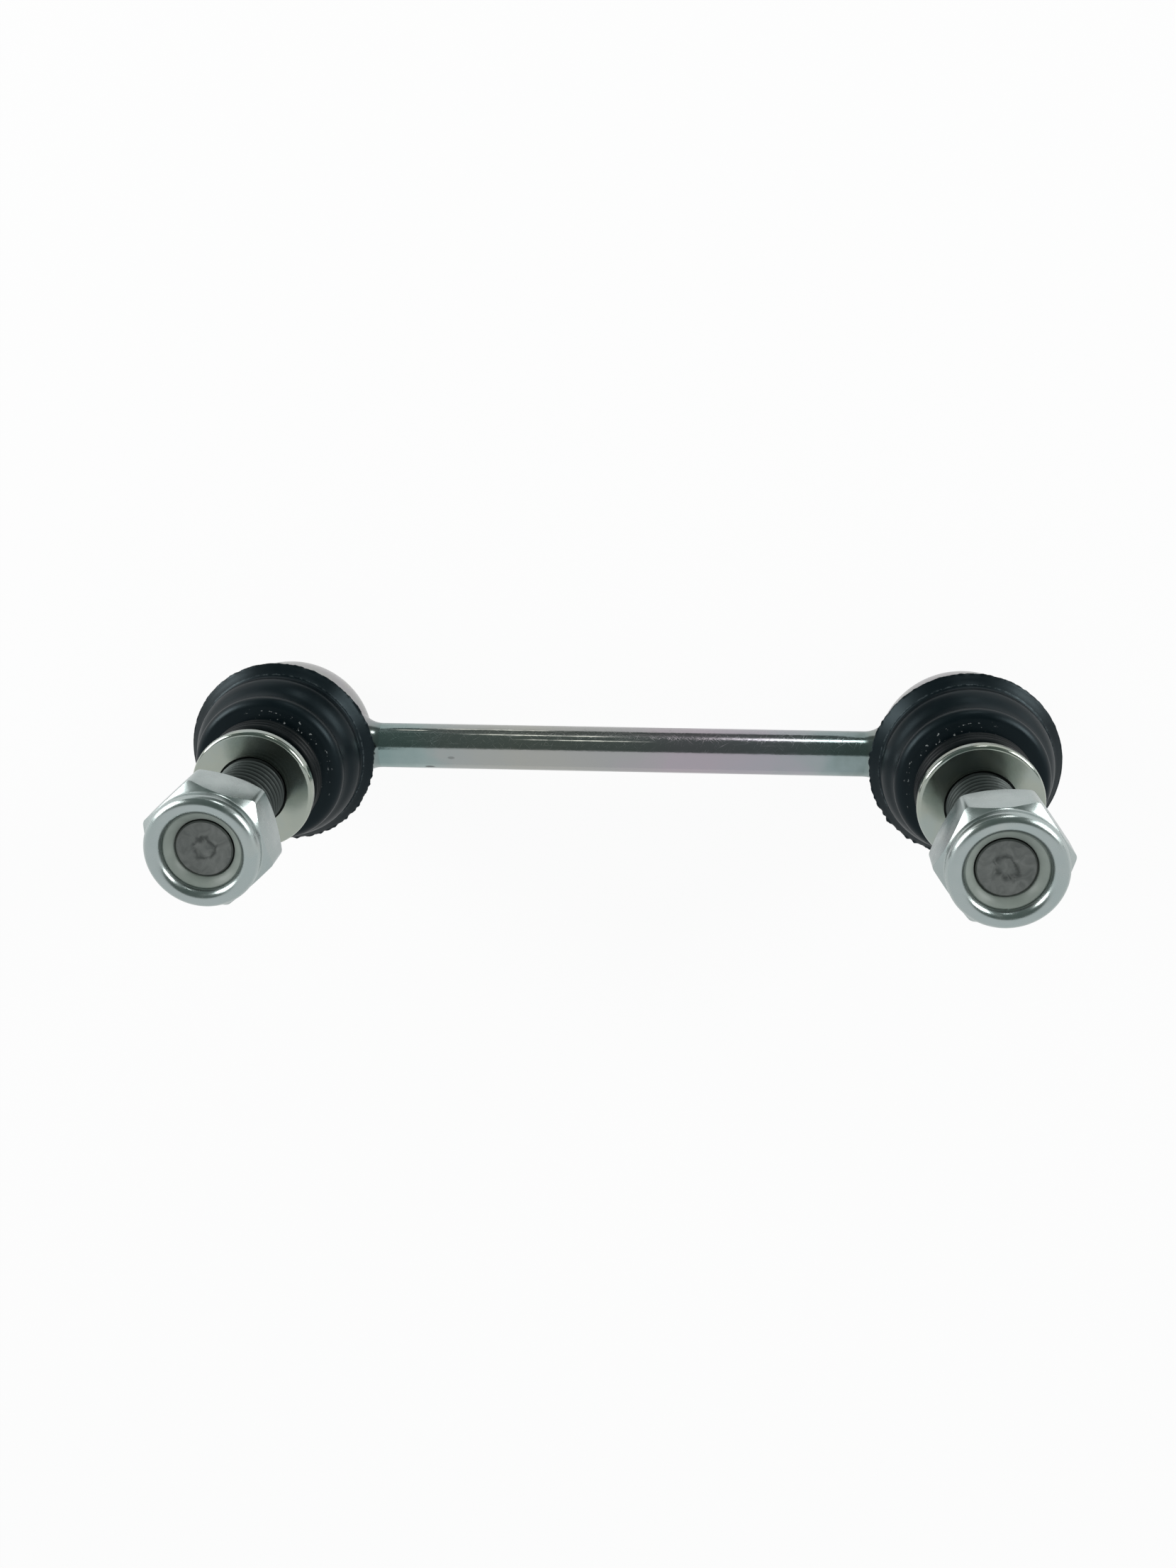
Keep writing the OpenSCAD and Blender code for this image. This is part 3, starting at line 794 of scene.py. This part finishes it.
for side, turn in (("left", 42), ("right", 6)):
    axis_x = stud_axis[side]
    bpy.ops.object.select_all(action="DESELECT")
    bpy.ops.mesh.primitive_cylinder_add(
        vertices=6,
        radius=corner_r * mm,
        depth=blank_height * mm,
        location=(axis_x, 0, (nut_z + blank_middle_z) * mm),
        rotation=(0, 0, math.radians(turn - 30)),
    )
    nut = bpy.context.object
    nut.name = nut.data.name = f"{side}_hex_nut"
    bpy.ops.object.transform_apply(location=True, rotation=True, scale=True)
    bpy.ops.object.mode_set(mode="EDIT")
    bpy.ops.mesh.select_mode(type="EDGE")
    bpy.ops.mesh.select_all(action="DESELECT")
    bpy.ops.object.mode_set(mode="OBJECT")
    for edge in nut.data.edges:
        low, high = (nut.data.vertices[i].co for i in edge.vertices)
        edge.select = abs(low.z - high.z) > blank_height / 2 * mm
    bpy.ops.object.mode_set(mode="EDIT")
    bpy.ops.mesh.bevel(offset=corner_round * mm, segments=4, affect="EDGES")
    bpy.ops.object.mode_set(mode="OBJECT")
    cone_cut = spin_outline(
        "nut_cone_cut", axis_x, [(r, nut_z + z) for r, z in nut_outline], steps=180
    )
    keep_common(nut, cone_cut)
    bpy.ops.object.mode_set(mode="EDIT")
    bpy.ops.mesh.select_all(action="SELECT")
    bpy.ops.mesh.remove_doubles(threshold=2e-5)
    bpy.ops.mesh.normals_make_consistent(inside=False)
    bpy.ops.object.mode_set(mode="OBJECT")
    soften = nut.modifiers.new("soften", "BEVEL")
    soften.width = edge_round * mm
    soften.segments = 3
    soften.limit_method = "ANGLE"
    soften.angle_limit = math.radians(24)
    soften.use_clamp_overlap = True
    bpy.ops.object.modifier_apply(modifier="soften")
    nut.select_set(True)
    bpy.ops.object.shade_smooth_by_angle(angle=math.radians(28))
    dress(nut, nut_plate)
    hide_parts(f"{side}_lock_nut")
    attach(nut, f"{side}_nut")

# Nut inserts: rings of undyed nylon, trapped under the rolled crown. Their bore is still uncut, because
# each nut has only been started on its stud.
nylon, tree, shader, place = new_finish("insert_nylon")
shader.inputs["Roughness"].default_value = 0.42
cloud = add_noise(tree, place, scale=500, detail=4)
nylon_tone = add_ramp(tree, cloud, [(0.3, (0.25, 0.288, 0.258)), (0.7, (0.31, 0.347, 0.315))])
tree.links.new(nylon_tone, shader.inputs["Base Color"])
insert_outline = [
    (6.75, 6.0),
    (6.75, 7.92),
    (5.62, 7.95),
    (5.47, 8.30),
    (5.44, 8.42),
    (5.26, 8.50),
    (4.88, 8.28),
    (4.50, 7.94),
    (4.20, 7.60),
    (4.04, 7.25),
    (4.02, 6.40),
    (4.32, 6.08),
    (4.60, 6.0),
]
for side, axis_x in stud_axis.items():
    insert = spin_outline(
        f"{side}_nylon_insert", axis_x, [(r, nut_z + z) for r, z in insert_outline], steps=128
    )
    bpy.ops.object.shade_smooth_by_angle(angle=math.radians(40))
    dress(insert, nylon)
    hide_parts(f"{side}_nut_insert")
    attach(insert, f"{side}_insert")
